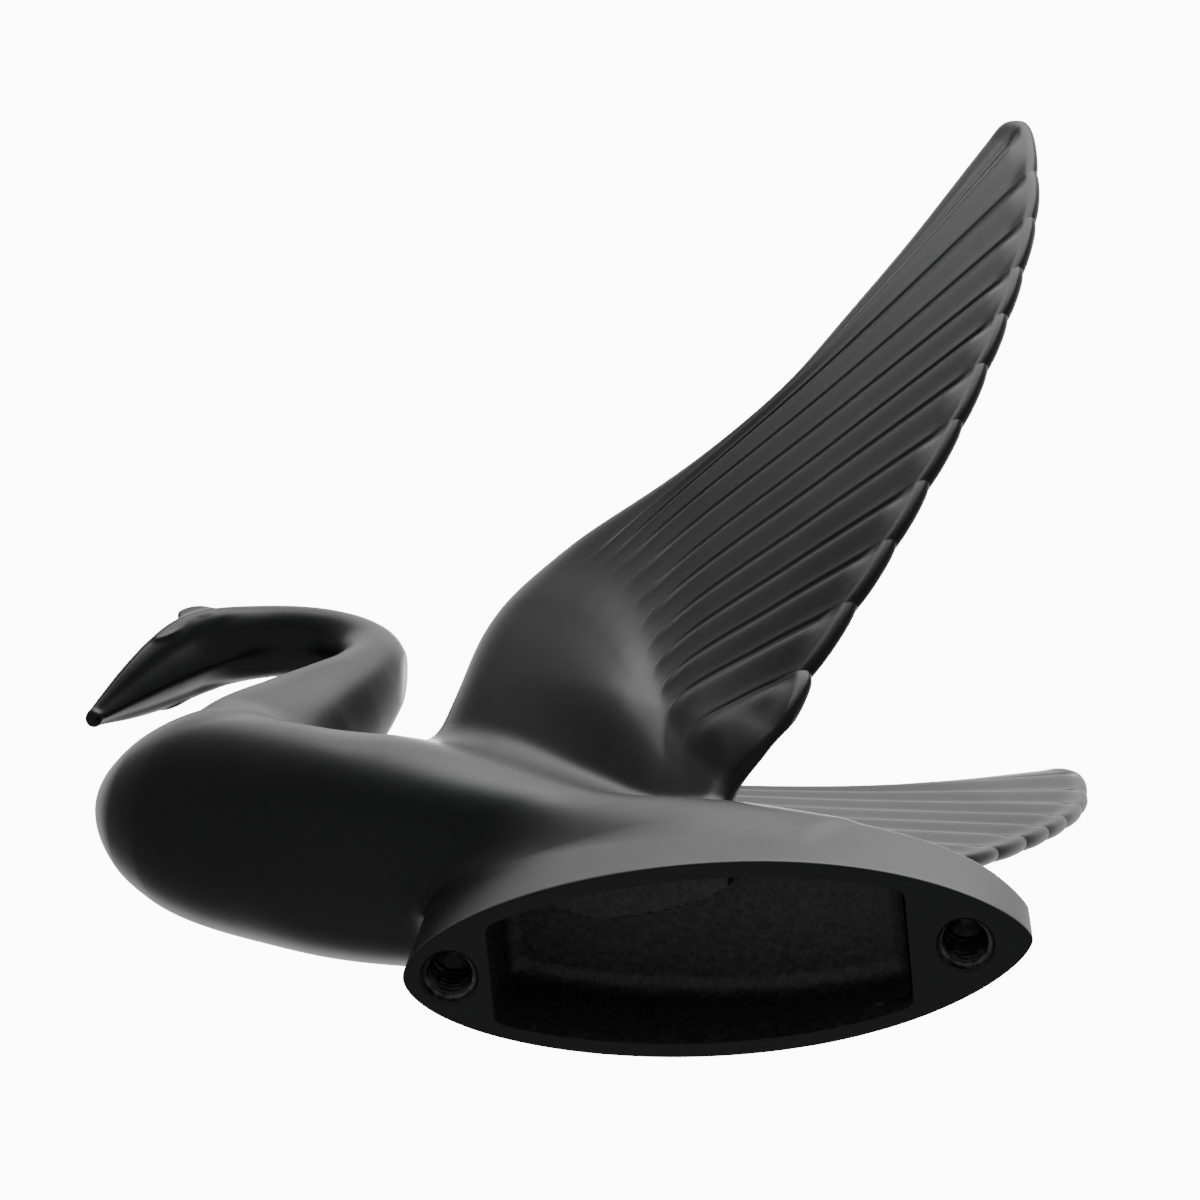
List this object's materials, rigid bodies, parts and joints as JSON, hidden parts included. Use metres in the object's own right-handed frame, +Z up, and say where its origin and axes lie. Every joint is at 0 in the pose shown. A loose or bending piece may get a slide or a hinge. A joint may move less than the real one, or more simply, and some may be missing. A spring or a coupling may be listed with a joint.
{
  "type": "hood ornament",
  "caption": "Cast swan hood ornament with raised swept-back feathered wings on a pointed-oval foot with blind mounting threads and a hollow underside.",
  "frame": {"origin": "middle of the overall box in X and Y, on the flat underside of the foot in Z", "axes": "+X to the tail, -X the way the bird flies, +Y the bird's right wing, +Z up"},
  "size_m": [0.158, 0.1214, 0.2184],
  "materials": {
    "black_coat": "satin black coat over a zinc casting",
    "left_wing_coat": "satin black coat over a zinc casting",
    "right_wing_coat": "satin black coat over a zinc casting",
    "dowel_steel": "ground steel dowel pin"
  },
  "bodies": {
    "root": {"body_casting": "black_coat", "left_wing": "left_wing_coat", "right_wing": "right_wing_coat", "left_front_dowel": "dowel_steel", "left_rear_dowel": "dowel_steel", "right_front_dowel": "dowel_steel", "right_rear_dowel": "dowel_steel"}
  },
  "joints": []
}
